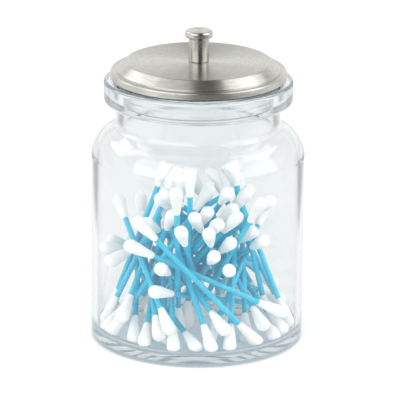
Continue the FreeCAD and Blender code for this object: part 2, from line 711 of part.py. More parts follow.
def sink(pile, step=0.1):
    """Lower each swab, lowest first, until it touches the floor or the pile."""
    for swab in sorted(pile, key=lambda item: item.middle):
        index = pile.index(swab)
        others = pile[:index] + pile[index + 1:]
        while fits(pile[index].lifted(-step), others):
            pile[index] = pile[index].lifted(-step)


def fill_jar(count, seed=13, stages=30):
    """Places of all swabs, the same each time."""
    luck = random.Random(seed)
    pile = []
    for foot_angle, foot_reach, head_angle, head_reach, lift in FRONT:
        set_down(luck, pile, Swab(plan(foot_angle, foot_reach), plan(head_angle, head_reach), lift))
    fixed = len(pile)
    for stage in range(stages):
        drop_in(luck, pile, min(stage, HIGHEST_STAGE), count)
        shake(luck, pile, fixed)
    for turn in range(2):
        sink(pile)
    return pile


# ---------------------------------------------------------------- swabs as pieces
BUNDLES = 8


def placed(shape, swab, flip):
    """A copy of a swab form laid along a swab, from its lower tip or, flipped, its upper one."""
    way = swab.way * (-1 if flip else 1)
    start = swab.tip + swab.way * (LENGTH if flip else 0)
    turn = FreeCAD.Rotation(FreeCAD.Vector(0, 0, 1), way)
    copy = shape.copy()
    copy.Placement = FreeCAD.Placement(start, turn)
    return copy


def add_group(label, shapes):
    feature = doc.addObject("Part::Feature", label)
    feature.Label = label
    feature.Shape = Part.makeCompound(shapes)
    feature.Placement = FreeCAD.Placement()
    return feature


def build_swabs(pile):
    """Sticks and cotton buds in bundles, lowest swabs first."""
    stick = build_stick_form().Shape
    bud = build_bud_form().Shape
    ordered = sorted(pile, key=lambda swab: swab.middle)
    groups = []
    for number in range(BUNDLES):
        bundle = ordered[number * len(ordered) // BUNDLES:(number + 1) * len(ordered) // BUNDLES]
        sticks = [placed(stick, swab, False) for swab in bundle]
        buds = [placed(bud, swab, flip) for swab in bundle for flip in (False, True)]
        groups.append(add_group("swab_sticks_%d" % (number + 1), sticks))
        groups.append(add_group("swab_buds_%d" % (number + 1), buds))
    return groups


# ---------------------------------------------------------------- build, check and write
pieces = [
    build_jar(), build_lid_shell(), build_lid_plug(), build_seal_ring(),
    build_knob(), build_knob_screw(), build_washer(),
]
pieces += build_swabs(fill_jar(int(size("swab_count"))))
doc.recompute()

for item in doc.Objects:
    if "Invalid" in item.State or "Error" in item.State:
        raise RuntimeError("%s did not build: %s" % (item.Name, item.State))
for piece in pieces:
    if piece.Shape.isNull() or not piece.Shape.isValid():
        raise RuntimeError("%s has no valid shape" % piece.Label)

os.makedirs("parts", exist_ok=True)
for piece in pieces:
    piece.Shape.exportStep("parts/%s.step" % piece.Label)
    print("%-16s %9.1f mm3  %d solids" % (piece.Label, piece.Shape.Volume, len(piece.Shape.Solids)))
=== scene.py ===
"""Glass canister with a brushed steel lid, filled with cotton swabs: the looks of every surface."""
import math
import random

import bmesh
import bpy
from mathutils import Matrix, Quaternion, Vector


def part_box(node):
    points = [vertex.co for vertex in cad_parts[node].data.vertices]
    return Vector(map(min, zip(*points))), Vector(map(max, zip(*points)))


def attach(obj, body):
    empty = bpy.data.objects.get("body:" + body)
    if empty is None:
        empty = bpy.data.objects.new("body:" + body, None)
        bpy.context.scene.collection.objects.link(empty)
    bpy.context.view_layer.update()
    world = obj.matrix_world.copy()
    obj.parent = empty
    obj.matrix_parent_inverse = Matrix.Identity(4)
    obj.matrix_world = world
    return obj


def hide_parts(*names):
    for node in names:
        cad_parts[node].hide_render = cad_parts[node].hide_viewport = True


bl_info = {
    "name": "Glass Canister",
    "version": (1, 0, 0),
    "blender": (4, 5, 0),
    "location": "View3D > Sidebar > Canister",
    "description": "Models and finishes a glass canister of cotton swabs around its CAD frame",
    "category": "Object",
}

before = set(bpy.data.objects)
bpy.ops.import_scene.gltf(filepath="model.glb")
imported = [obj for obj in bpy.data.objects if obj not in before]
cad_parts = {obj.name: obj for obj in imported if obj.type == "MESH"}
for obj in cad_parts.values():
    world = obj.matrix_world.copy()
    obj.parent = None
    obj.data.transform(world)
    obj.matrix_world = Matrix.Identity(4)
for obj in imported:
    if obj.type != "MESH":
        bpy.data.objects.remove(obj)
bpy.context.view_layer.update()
MM = 0.001
# The way from the jar to the dark gap between the two lights in front.
GAP = (0.34, -0.94, 0.0)


def linear(code):
    """Linear colour from an sRGB hex code."""
    channels = [int(code[start:start + 2], 16) / 255 for start in (1, 3, 5)]
    return [c / 12.92 if c <= 0.04045 else ((c + 0.055) / 1.055) ** 2.4 for c in channels]


def reach(node):
    """Outer radius, foot and top of a turned CAD node."""
    low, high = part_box(node)
    return high.x, low.z, high.z


# ---------------------------------------------------------------- sizes and colours
def length(name, description, default):
    return bpy.props.FloatProperty(name=name, description=description, default=default, unit="LENGTH")


def tint(name, description, code):
    return bpy.props.FloatVectorProperty(
        name=name, description=description, default=linear(code), subtype="COLOR", min=0, max=1)


class CanisterSizes(bpy.types.PropertyGroup):
    """Sizes of the turned, stamped and wound pieces; outer sizes come from the CAD frame."""
    wall: length("Wall", "Glass thickness of the side", 2.4 * MM)
    floor: length("Floor", "Glass thickness under the contents", 3.6 * MM)
    heel: length("Heel", "Outer rounding where wall meets foot", 1.2 * MM)
    floor_corner: length("Floor Corner", "Inner rounding where wall meets floor", 4.5 * MM)
    foot_width: length("Foot Width", "Ring that stands on the table", 7.0 * MM)
    push_up: length("Push-up", "Hollow under the foot", 1.4 * MM)
    neck: length("Neck", "Outer radius of the neck", 34.2 * MM)
    mouth: length("Mouth", "Inner radius of the mouth", 31.4 * MM)
    neck_height: length("Neck Height", "Neck between shoulder and rim", 9.8 * MM)
    slope: bpy.props.FloatProperty(
        name="Shoulder Slope", description="Slope of the shoulder above level",
        default=math.radians(31), subtype="ANGLE")
    shoulder: length("Shoulder", "Outer rounding of the shoulder", 12.5 * MM)
    neck_hollow: length("Neck Hollow", "Outer hollow between shoulder and neck", 2.5 * MM)
    rim: length("Rim", "Outer radius of the thick rim", 39.4 * MM)
    rim_height: length("Rim Height", "Height of the thick rim", 9.6 * MM)
    rim_root: length("Rim Root", "Hollow where the rim leaves the neck", 1.2 * MM)
    rim_under: length("Rim Underside", "Rounding under the rim", 2.0 * MM)
    rim_over: length("Rim Top", "Rounding on top of the rim", 1.5 * MM)
    sheet: length("Sheet", "Thickness of the stamped steel", 0.6 * MM)
    skirt: length("Skirt", "Height of the steel skirt", 2.8 * MM)
    ledge: length("Ledge", "Flat ledge on top of the skirt", 2.5 * MM)
    step: length("Step", "Step between ledge and bevel", 0.55 * MM)
    bevel_run: length("Bevel Run", "Width of the bevel", 3.9 * MM)
    corner: length("Skirt Corner", "Rounding between skirt and ledge", 0.7 * MM)
    edge: length("Stamped Edge", "Rounding of the stamped edges", 0.25 * MM)
    crease: length("Plateau Edge", "Rounding between plateau and bevel", 0.9 * MM)
    screw_hole: length("Screw Hole", "Radius of the hole for the screw", 1.85 * MM)
    plug: length("Plug", "Outer radius of the plug's collar", 30.15 * MM)
    plug_wall: length("Plug Wall", "Thickness of the plug's collar", 1.6 * MM)
    boss: length("Boss", "Radius of the boss round the screw", 6.0 * MM)
    fit: length("Fit", "Room between pieces that pass through one another", 0.1 * MM)
    skirt_lift: length("Skirt Lift", "Height of the skirt's edge above the seal", 0.25 * MM)
    seal_wall: length("Seal Wall", "Thickness of the seal's sleeve", 0.6 * MM)
    seal_flange: length("Seal Flange", "Thickness of the seal between rim and lid", 0.5 * MM)
    seal_room: length("Seal Room", "Room between lips and mouth", 0.3 * MM)
    lip: length("Seal Lip", "Height of each wiping lip", 0.7 * MM)
    lip_pitch: length("Lip Pitch", "Spacing of the wiping lips", 2.6 * MM)
    stem: length("Knob Stem", "Radius of the knob's stem", 4.25 * MM)
    cap: length("Knob Cap", "Thickness of the knob's cap", 2.9 * MM)
    cap_round: length("Cap Edge", "Rounding of the knob's cap", 0.95 * MM)
    groove: length("Knob Groove", "Depth and height of the groove under the cap", 0.45 * MM)
    tap: length("Tapped Hole", "Radius of the tapped hole in the knob", 1.75 * MM)
    tap_depth: length("Tap Depth", "Depth of the tapped hole in the knob", 8.0 * MM)
    swab: length("Swab", "Length of a swab from tip to tip", 76.0 * MM)
    stick: length("Stick", "Radius of a swab's stick", 1.15 * MM)
    bud: length("Bud", "Widest radius of a bud", 2.95 * MM)
    bud_length: length("Bud Length", "Length of a bud along its stick", 13.5 * MM)
    bud_peak: length("Bud Peak", "Distance from tip to widest place", 4.2 * MM)
    bud_neck: length("Bud Thin End", "Radius where the cotton thins out on the stick", 1.45 * MM)
    bud_cover: length("Bud Cover", "Cotton over the end of the stick", 1.6 * MM)


class CanisterColours(bpy.types.PropertyGroup):
    """Colours of the finishes."""
    glass: tint("Glass", "Soda-lime glass seen face on", "#F4F6F6")
    # Glass Edge is a painted shade: grey laid into the glass's colour where it is seen along its face.
    glass_edge_painted_shade: tint("Glass Edge", "Soda-lime glass seen along its face", "#8E979A")
    glass_depth: tint("Glass Depth", "What thick glass leaves of the light", "#A9BBC2")
    steel: tint("Steel", "Brushed stainless steel", "#C5C4BD")
    plug: tint("Plug", "Clear styrene plug", "#FFFFFF")
    seal: tint("Seal", "Clear silicone seal", "#FEFFFF")
    stick: tint("Stick", "Blue polypropylene stick", "#25BFDD")
    cotton: tint("Cotton", "Bleached cotton", "#FDFDFC")
    floor: tint("Floor", "Sanded face of the shooting table", "#A0A0A0")
    floor_light: tint("Floor Light", "Light that comes up through the table", "#D7D7D7")
    # Floor Shade is a painted shadow: the dimmer, bluish glow of the table under the jar.
    floor_painted_shadow: tint("Floor Shade", "Light of the table under the jar", "#9EB3BF")
    floor_flag: tint("Floor Flag", "Face of the table where it is unlit", "#7C7C7C")


def sizes():
    return bpy.context.scene.canister_sizes


def colours():
    return bpy.context.scene.canister_colours


# ---------------------------------------------------------------- node and material helpers
def add_node(tree, kind, settings=None, links=None):
    """Add a node; settings go to its properties or sockets, links to its input sockets."""
    node = tree.nodes.new(kind)
    for key, value in (settings or {}).items():
        if isinstance(key, str) and hasattr(node, key):
            setattr(node, key, value)
        else:
            node.inputs[key].default_value = value
    for key, source in (links or {}).items():
        tree.links.new(source, node.inputs[key])
    return node


def spaced(size):
    """Scale of a noise pattern whose features are this size."""
    return 1 / size


def new_material(name):
    material = bpy.data.materials.new(name)
    material.use_nodes = True
    material.node_tree.nodes.clear()
    return material, material.node_tree


def opaque(code):
    return (*code, 1.0)


def finish_material(tree, shader, volume=None):
    links = {"Surface": shader}
    if volume:
        links["Volume"] = volume
    add_node(tree, "ShaderNodeOutputMaterial", links=links)


def lamp_clear(tree, shader):
    """Glass that lets lamps through: rays on their way to a lamp pass it as if it were clear."""
    path = add_node(tree, "ShaderNodeLightPath")
    clear = add_node(tree, "ShaderNodeBsdfTransparent")
    mix = add_node(tree, "ShaderNodeMixShader", links={
        0: path.outputs["Is Shadow Ray"], 1: shader, 2: clear.outputs[0]})
    return mix.outputs[0]


def soda_lime_glass():
    """Pressed soda-lime glass: clear and fire polished, with faint unevenness from the mould."""
    material, tree = new_material("soda_lime_glass_fire_polished")
    place = add_node(tree, "ShaderNodeTexCoord")
    swell = add_node(tree, "ShaderNodeTexNoise", {"Scale": spaced(22.22 * MM), "Detail": 1.0},
                     {"Vector": place.outputs["Object"]})
    bump = add_node(tree, "ShaderNodeBump", {"Strength": 0.04, "Distance": 0.4 * MM},
                    {"Height": swell.outputs[0]})
    # Seen along its face the wall is painted grey: a painted shade for light lost on its long way
    # through the glass, which draws the jar's dark outlines. Only the side that the light leaves by is
    # tinted, so that a wall is not tinted twice.
    slant = add_node(tree, "ShaderNodeLayerWeight", {"Blend": 0.5})
    painted_edge_shade = add_node(tree, "ShaderNodeMath", {"operation": "POWER", 1: 6.0},
                     {0: slant.outputs["Facing"]})
    side = add_node(tree, "ShaderNodeNewGeometry")
    edge = add_node(tree, "ShaderNodeMath", {"operation": "SUBTRACT", "use_clamp": True},
                    {0: painted_edge_shade.outputs[0], 1: side.outputs["Backfacing"]})
    tone = add_node(tree, "ShaderNodeMix", {
        "data_type": "RGBA", 6: opaque(colours().glass), 7: opaque(colours().glass_edge_painted_shade)},
        {0: edge.outputs[0]})
    glass = add_node(tree, "ShaderNodeBsdfPrincipled", {
        "Roughness": 0.01, "IOR": 1.5, "Transmission Weight": 1.0},
        {"Base Color": tone.outputs[2], "Normal": bump.outputs[0]})
    depth = add_node(tree, "ShaderNodeVolumeAbsorption", {
        "Color": opaque(colours().glass_depth), "Density": 6.0})
    finish_material(tree, lamp_clear(tree, glass.outputs[0]), depth.outputs[0])
    return material


def clear_styrene():
    """Clear moulded styrene: glossy, with the slight haze of a moulded wall."""
    material, tree = new_material("clear_styrene_moulded")
    place = add_node(tree, "ShaderNodeTexCoord")
    haze = add_node(tree, "ShaderNodeTexNoise", {"Scale": spaced(3.333 * MM), "Detail": 2.0},
                    {"Vector": place.outputs["Object"]})
    rough = add_node(tree, "ShaderNodeMapRange", {"To Min": 0.01, "To Max": 0.05},
                     {"Value": haze.outputs[0]})
    body = add_node(tree, "ShaderNodeBsdfPrincipled", {
        "Base Color": opaque(colours().plug), "IOR": 1.57, "Transmission Weight": 1.0},
        {"Roughness": rough.outputs[0]})
    finish_material(tree, lamp_clear(tree, body.outputs[0]))
    return material


def clear_silicone():
    """Clear silicone rubber: milky and soft looking, dull on its moulded faces."""
    material, tree = new_material("clear_silicone_moulded")
    place = add_node(tree, "ShaderNodeTexCoord")
    # Grain left by the mould is about 0.1 mm; it is drawn at 1.1 mm so that it shows.
    grain = add_node(tree, "ShaderNodeTexNoise", {"Scale": spaced(1.111 * MM), "Detail": 2.0},
                     {"Vector": place.outputs["Object"]})
    bump = add_node(tree, "ShaderNodeBump", {"Strength": 0.2, "Distance": 0.05 * MM},
                    {"Height": grain.outputs[0]})
    body = add_node(tree, "ShaderNodeBsdfPrincipled", {
        "Base Color": opaque(colours().seal), "IOR": 1.41, "Transmission Weight": 1.0,
        "Roughness": 0.12}, {"Normal": bump.outputs[0]})
    finish_material(tree, lamp_clear(tree, body.outputs[0]))
    return material


def brushed_steel(name, roughness, depth):
    """Stainless steel brushed in circles while it turned: light spreads across the fine rings."""
    material, tree = new_material(name)
    place = add_node(tree, "ShaderNodeTexCoord")
    split = add_node(tree, "ShaderNodeSeparateXYZ", links={"Vector": place.outputs["Object"]})
    square = add_node(tree, "ShaderNodeMath", {"operation": "MULTIPLY"},
                      {0: split.outputs[0], 1: split.outputs[0]})
    radius_square = add_node(tree, "ShaderNodeMath", {"operation": "MULTIPLY_ADD"},
                             {0: split.outputs[1], 1: split.outputs[1], 2: square.outputs[0]})
    radius = add_node(tree, "ShaderNodeMath", {"operation": "SQRT"}, {0: radius_square.outputs[0]})
    turn = add_node(tree, "ShaderNodeMath", {"operation": "ARCTAN2"},
                    {0: split.outputs[1], 1: split.outputs[0]})
    # A radian counts as 4 mm, far less than its arc, so the marks are drawn out round the axis.
    around = add_node(tree, "ShaderNodeMath", {"operation": "MULTIPLY", 1: 4 * MM},
                      {0: turn.outputs[0]})
    rings = add_node(tree, "ShaderNodeCombineXYZ", links={
        0: radius.outputs[0], 1: around.outputs[0], 2: split.outputs[2]})
    # Brush lines are about 0.03 mm apart; they are drawn at 0.11 mm so that they show.
    lines = add_node(tree, "ShaderNodeTexNoise", {"Scale": spaced(0.1111 * MM), "Detail": 3.0},
                     {"Vector": rings.outputs[0]})
    streaks = add_node(tree, "ShaderNodeTexNoise", {"Scale": spaced(0.6667 * MM), "Detail": 2.0},
                       {"Vector": rings.outputs[0]})
    shine = add_node(tree, "ShaderNodeMapRange", {
        "From Min": 0.3, "From Max": 0.7, "To Min": 0.86, "To Max": 1.1},
        {"Value": streaks.outputs[0]})
    tone = add_node(tree, "ShaderNodeMix", {
        "data_type": "RGBA", "blend_type": "MULTIPLY", 0: 1.0, 6: opaque(colours().steel)},
        {7: shine.outputs[0]})
    uneven = add_node(tree, "ShaderNodeMapRange", {
        "From Min": 0.3, "From Max": 0.7, "To Min": roughness * 0.85, "To Max": roughness * 1.2},
        {"Value": lines.outputs[0]})
    bump = add_node(tree, "ShaderNodeBump", {"Strength": depth, "Distance": 0.02 * MM},
                    {"Height": lines.outputs[0]})
    # The tangent (-y, x, 0) runs round the axis, as the brush did.
    back = add_node(tree, "ShaderNodeMath", {"operation": "MULTIPLY", 1: -1.0},
                    {0: split.outputs[1]})
    tangent = add_node(tree, "ShaderNodeCombineXYZ", links={0: back.outputs[0], 1: split.outputs[0]})
    steel = add_node(tree, "ShaderNodeBsdfPrincipled", {
        "Metallic": 1.0, "Anisotropic": 0.85, "Anisotropic Rotation": 0.25},
        {"Base Color": tone.outputs[2], "Roughness": uneven.outputs[0],
         "Normal": bump.outputs[0], "Tangent": tangent.outputs[0]})
    finish_material(tree, steel.outputs[0])
    return material


def blue_polypropylene():
    """Extruded polypropylene stick: translucent blue, light carries along its length."""
    material, tree = new_material("blue_polypropylene_extruded")
    place = add_node(tree, "ShaderNodeTexCoord")
    draw = add_node(tree, "ShaderNodeTexNoise", {"Scale": spaced(2 * MM), "Detail": 2.0},
                    {"Vector": place.outputs["Object"]})
    bump = add_node(tree, "ShaderNodeBump", {"Strength": 0.15, "Distance": 0.05 * MM},
                    {"Height": draw.outputs[0]})
    body = add_node(tree, "ShaderNodeBsdfPrincipled", {
        "Base Color": opaque(colours().stick), "Roughness": 0.2, "IOR": 1.49,
        "Coat Weight": 0.5, "Coat Roughness": 0.1,
        "Subsurface Weight": 0.8, "Subsurface Radius": (0.4, 1.0, 1.0),
        "Subsurface Scale": 3.0 * MM}, {"Normal": bump.outputs[0]})
    finish_material(tree, body.outputs[0])
    return material


def wound_cotton():
    """Bleached cotton wound on the stick: matte, fibrous and soft where light enters it."""
    material, tree = new_material("bleached_cotton_wound")
    place = add_node(tree, "ShaderNodeTexCoord")
    # Cotton fibres are about 0.02 mm thick; they are drawn at 0.7 mm so that they show.
    fibres = add_node(tree, "ShaderNodeTexNoise", {
        "Scale": spaced(0.7143 * MM), "Detail": 4.0, "Distortion": 1.5},
        {"Vector": place.outputs["Object"]})
    tufts = add_node(tree, "ShaderNodeTexNoise", {"Scale": spaced(2.857 * MM), "Detail": 2.0},
                     {"Vector": place.outputs["Object"]})
    both = add_node(tree, "ShaderNodeMath", {"operation": "MULTIPLY_ADD", 1: 0.5},
                    {0: fibres.outputs[0], 2: tufts.outputs[0]})
    bump = add_node(tree, "ShaderNodeBump", {"Strength": 0.5, "Distance": 0.25 * MM},
                    {"Height": both.outputs[0]})
    body = add_node(tree, "ShaderNodeBsdfPrincipled", {
        "Base Color": opaque(colours().cotton), "Roughness": 0.95, "Subsurface Weight": 0.8,
        "Subsurface Radius": (1.0, 1.0, 1.0), "Subsurface Scale": 1.2 * MM,
        "Sheen Weight": 0.3, "Sheen Roughness": 0.6}, {"Normal": bump.outputs[0]})
    finish_material(tree, body.outputs[0])
    return material


def zinc_plate():
    """Zinc plated steel of the hidden fasteners: dull silver with a fine crystalline grain."""
    material, tree = new_material("zinc_plated_steel")
    place = add_node(tree, "ShaderNodeTexCoord")
    # Zinc crystals are under 0.1 mm; they are drawn at 0.8 mm so that they show.
    grain = add_node(tree, "ShaderNodeTexNoise", {"Scale": spaced(0.8333 * MM), "Detail": 2.0},
                     {"Vector": place.outputs["Object"]})
    rough = add_node(tree, "ShaderNodeMapRange", {"To Min": 0.25, "To Max": 0.45},
                     {"Value": grain.outputs[0]})
    body = add_node(tree, "ShaderNodeBsdfPrincipled", {
        "Base Color": opaque(colours().steel), "Metallic": 1.0}, {"Roughness": rough.outputs[0]})
    finish_material(tree, body.outputs[0])
    return material


def lit_acrylic():
    """Opal acrylic of a shooting table lit from below: matte, white and almost free of shadows, with a
    painted shadow under the jar.
    """
    material, tree = new_material("opal_acrylic_sanded")
    shades = colours()
    place = add_node(tree, "ShaderNodeTexCoord")
    path = add_node(tree, "ShaderNodeLightPath")
    tooth = add_node(tree, "ShaderNodeTexNoise", {"Scale": spaced(2.5 * MM)},
                     {"Vector": place.outputs["Object"]})
    bump = add_node(tree, "ShaderNodeBump", {"Strength": 0.05, "Distance": 0.1 * MM},
                    {"Height": tooth.outputs[0]})
    away = add_node(tree, "ShaderNodeVectorMath", {"operation": "LENGTH"},
                    {0: place.outputs["Object"]})
    split = add_node(tree, "ShaderNodeSeparateXYZ", links={0: place.outputs["Object"]})
    # In front of the jar the table is dark to steel that mirrors it, but not through the glass.
    ahead = add_node(tree, "ShaderNodeVectorMath", {"operation": "DOT_PRODUCT", 1: GAP},
                     {0: place.outputs["Object"]})
    front = add_node(tree, "ShaderNodeMapRange", {"From Min": 0.11, "From Max": 0.26},
                     {"Value": ahead.outputs["Value"]})
    mirrored = add_node(tree, "ShaderNodeMath", {"operation": "SUBTRACT", "use_clamp": True},
                        {0: front.outputs[0], 1: path.outputs["Is Transmission Ray"]})
    # Behind the jar, dark flags on both sides give the glass its dark outlines.
    aside = add_node(tree, "ShaderNodeMath", {"operation": "ABSOLUTE"}, {0: split.outputs[0]})
    beside = add_node(tree, "ShaderNodeMapRange", {"From Min": 0.115, "From Max": 0.135},
                      {"Value": aside.outputs[0]})
    back = add_node(tree, "ShaderNodeMath", {"operation": "DIVIDE"},
                    {0: split.outputs[1], 1: away.outputs["Value"]})
    behind = add_node(tree, "ShaderNodeMapRange", {"From Min": 0.6, "From Max": 0.7},
                      {"Value": back.outputs[0]})
    near = add_node(tree, "ShaderNodeMapRange", {
        "From Min": 0.28, "From Max": 0.32, "To Min": 0.65, "To Max": 0.1},
        {"Value": split.outputs[1]})
    corner = add_node(tree, "ShaderNodeMath", {"operation": "MULTIPLY"},
                      {0: beside.outputs[0], 1: behind.outputs[0]})
    flag = add_node(tree, "ShaderNodeMath", {"operation": "MULTIPLY"},
                    {0: corner.outputs[0], 1: near.outputs[0]})
    unlit = add_node(tree, "ShaderNodeMath", {"operation": "MAXIMUM"},
                     {0: mirrored.outputs[0], 1: flag.outputs[0]})
    # Seen straight, the table is plain and pale all over.
    dark = add_node(tree, "ShaderNodeMath", {"operation": "SUBTRACT", "use_clamp": True},
                    {0: unlit.outputs[0], 1: path.outputs["Is Camera Ray"]})
    # Under the jar the table's glow is turned down and tinted bluish: a painted shadow, darkest in a
    # ring under the foot, with painted blue light that stands for light passed through the sticks.
    inside = add_node(tree, "ShaderNodeMapRange", {
        "From Min": 0.033, "From Max": 0.038, "To Min": 1.0, "To Max": 0.6},
        {"Value": away.outputs["Value"]})
    outside = add_node(tree, "ShaderNodeMapRange", {"From Min": 0.041, "From Max": 0.045},
                       {"Value": away.outputs["Value"]})
    glow_with_painted_shadow = add_node(tree, "ShaderNodeMath", {"operation": "MAXIMUM"},
                    {0: inside.outputs[0], 1: outside.outputs[0]})
    under = add_node(tree, "ShaderNodeMix", {
        "data_type": "RGBA", 6: opaque(shades.floor_painted_shadow), 7: opaque(shades.floor_light)},
        {0: outside.outputs[0]})
    lit = add_node(tree, "ShaderNodeMath", {"operation": "SUBTRACT", 0: 1.0}, {1: dark.outputs[0]})
    light = add_node(tree, "ShaderNodeMath", {"operation": "MULTIPLY"},
                     {0: glow_with_painted_shadow.outputs[0], 1: lit.outputs[0]})
    face = add_node(tree, "ShaderNodeMix", {
        "data_type": "RGBA", 6: opaque(shades.floor), 7: opaque(shades.floor_flag)},
        {0: dark.outputs[0]})
    body = add_node(tree, "ShaderNodeBsdfPrincipled", {"Roughness": 0.9, "Specular IOR Level": 0.2}, {
        "Base Color": face.outputs[2], "Normal": bump.outputs[0],
        "Emission Color": under.outputs[2], "Emission Strength": light.outputs[0]})
    finish_material(tree, body.outputs[0])
    return material


def dress_object(piece, material):
    piece.data.materials.clear()
    piece.data.materials.append(material)


# ---------------------------------------------------------------- modelling helpers
def pick(*objects):
    """Select only these objects and make the last one active."""
    bpy.ops.object.select_all(action="DESELECT")
    for item in objects:
        item.select_set(True)
    bpy.context.view_layer.objects.active = objects[-1]


def pick_points(piece, test):
    """In edit mode, select only the points that pass a test on their place."""
    bpy.ops.mesh.select_mode(type="VERT")
    bpy.ops.mesh.select_all(action="DESELECT")
    mesh = bmesh.from_edit_mesh(piece.data)
    for point in mesh.verts:
        point.select_set(test(point.co))
    mesh.select_flush_mode()
    bmesh.update_edit_mesh(piece.data)


def at(place):
    """Test for a point at one place."""
    return lambda point: (point - place).length < 1e-6


def turned(name, corners, closed=False, steps=192, rounding_steps=8):
    """Draw an outline of (radius, height, rounding) corners, round them and spin it about Z."""
    bpy.ops.object.select_all(action="DESELECT")
    bpy.ops.mesh.primitive_plane_add(size=MM, location=(0, 0, 0))
    piece = bpy.context.object
    piece.name = name
    piece.data.name = name
    places = [Vector((radius, 0, height)) for radius, height, _ in corners]
    bpy.ops.object.mode_set(mode="EDIT")
    bpy.ops.mesh.select_all(action="SELECT")
    bpy.ops.mesh.merge(type="CENTER")
    bpy.ops.transform.translate(value=places[0])
    for before, after in zip(places, places[1:]):
        bpy.ops.mesh.extrude_region_move(TRANSFORM_OT_translate={"value": after - before})
    if closed:
        pick_points(piece, lambda point: at(places[0])(point) or at(places[-1])(point))
        bpy.ops.mesh.edge_face_add()
    count = len(corners)
    for index, (_, _, rounding) in enumerate(corners):
        if not rounding:
            continue
        back = (places[index - 1] - places[index]).normalized()
        on = (places[(index + 1) % count] - places[index]).normalized()
        # The rounding of this radius begins this far from the corner, on both sides.
        cut = rounding / math.tan(back.angle(on) / 2)
        pick_points(piece, at(places[index]))
        bpy.ops.mesh.bevel(
            offset=cut, offset_type="ABSOLUTE", segments=rounding_steps, affect="VERTICES")
    bpy.ops.mesh.select_all(action="SELECT")
    bpy.ops.mesh.spin(steps=steps, angle=2 * math.pi, center=(0, 0, 0), axis=(0, 0, 1))
    bpy.ops.mesh.select_all(action="SELECT")
    bpy.ops.mesh.remove_doubles(threshold=0.5e-6)
    bpy.ops.mesh.normals_make_consistent(inside=False)
    bpy.ops.object.mode_set(mode="OBJECT")
    bpy.ops.object.shade_smooth_by_angle(angle=math.radians(30))
    weigh_normals(piece)
    return piece


def apply_modifier(piece, kind, **settings):
    """Add one modifier to a piece, set it and apply it."""
    pick(piece)
    bpy.ops.object.modifier_add(type=kind)
    modifier = piece.modifiers[-1]
    for key, value in settings.items():
        setattr(modifier, key, value)
    bpy.ops.object.modifier_apply(modifier=modifier.name)


def weigh_normals(piece):
    """Let the large faces keep their own normals, so that roundings don't shade across them."""
    apply_modifier(piece, "WEIGHTED_NORMAL", keep_sharp=True)


def thicken(piece, wall):
    """Give a one-sided form its wall thickness inwards."""
    apply_modifier(piece, "SOLIDIFY", thickness=wall, offset=-1, use_even_offset=True)
    bpy.ops.object.shade_smooth_by_angle(angle=math.radians(30))
    weigh_normals(piece)


def seat(piece, body, material, *nodes):
    """Give a piece its finish, its body and the CAD nodes that it stands for."""
    dress_object(piece, material)
    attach(piece, body)
    if nodes:
        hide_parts(*nodes)


# ---------------------------------------------------------------- jar
class CANISTER_OT_jar(bpy.types.Operator):
    """Model the glass jar: foot, wall, shoulder, neck and thick rim in one piece"""
    bl_idname = "canister.jar"
    bl_label = "Glass Jar"

    def execute(self, context):
        s = sizes()
        body, _, top = reach("jar")
        rim_foot = top - s.rim_height
        neck_foot = rim_foot - s.neck_height
        rise = math.tan(s.slope)
        shoulder = neck_foot - (body - s.neck) * rise
        inside = body - s.wall
        inner_shoulder = shoulder - s.wall * math.tan(math.pi / 4 - s.slope / 2)
        inner_neck = inner_shoulder + (inside - s.mouth) * rise
        foot = body - s.heel - s.foot_width
        jar = turned("glass_jar", [
            (0, s.push_up, 0), (foot / 2, s.push_up, s.foot_width), (foot, 0, s.push_up),
            (body, 0, s.heel), (body, shoulder, s.shoulder), (s.neck, neck_foot, s.neck_hollow),
            (s.neck, rim_foot, s.rim_root), (s.rim, rim_foot, s.rim_under),
            (s.rim, top, s.rim_over), (s.mouth, top, s.rim_over),
            (s.mouth, inner_neck, s.neck_hollow + s.wall),
            (inside, inner_shoulder, s.shoulder - s.wall), (inside, s.floor, s.floor_corner),
            (0, s.floor, 0),
        ], steps=256, rounding_steps=12)
        seat(jar, "jar", soda_lime_glass(), "jar")
        return {"FINISHED"}


# ---------------------------------------------------------------- lid
class CANISTER_OT_lid_shell(bpy.types.Operator):
    """Stamp the steel shell of the lid: plateau, bevel, ledge and skirt from one thin sheet"""
    bl_idname = "canister.lid_shell"
    bl_label = "Steel Shell"

    def execute(self, context):
        s = sizes()
        rim, foot, plateau = reach("lid_shell")
        ledge = foot + s.skirt
        bevel_foot = ledge + s.step
        bevel = rim - s.ledge
        shell = turned("lid_shell_steel", [
            (s.screw_hole, plateau, 0), (bevel - s.bevel_run, plateau, s.crease),
            (bevel, bevel_foot, s.edge), (bevel, ledge, s.edge / 2), (rim, ledge, s.corner),
            (rim, foot, 0),
        ], steps=256, rounding_steps=8)
        thicken(shell, s.sheet)
        seat(shell, "lid", brushed_steel("stainless_steel_circle_brushed", 0.3, 0.25),
             "lid_shell")
        return {"FINISHED"}


class CANISTER_OT_lid_plug(bpy.types.Operator):
    """Model the clear plug under the shell: plate, collar in the mouth and screw boss"""
    bl_idname = "canister.lid_plug"
    bl_label = "Clear Plug"

    def execute(self, context):
        s = sizes()
        plate, foot, boss_top = reach("lid_plug")
        shell_low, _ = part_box("lid_shell")
        plate_foot = shell_low.z - s.skirt_lift
        plate_top = shell_low.z + s.skirt - s.sheet - s.fit
        plug = turned("lid_plug_clear", [
            (s.screw_hole, plate_foot, 0), (s.plug - s.plug_wall, plate_foot, 0.6 * s.plug_wall),
            (s.plug - s.plug_wall, foot, 0.4 * s.plug_wall), (s.plug, foot, 0.4 * s.plug_wall),
            (s.plug, plate_foot, 0), (plate, plate_foot, 0), (plate, plate_top, 0),
            (s.boss, plate_top, 0), (s.boss, boss_top, 0), (s.screw_hole, boss_top, 0),
        ], closed=True)
        seat(plug, "lid", clear_styrene(), "lid_plug")
        return {"FINISHED"}


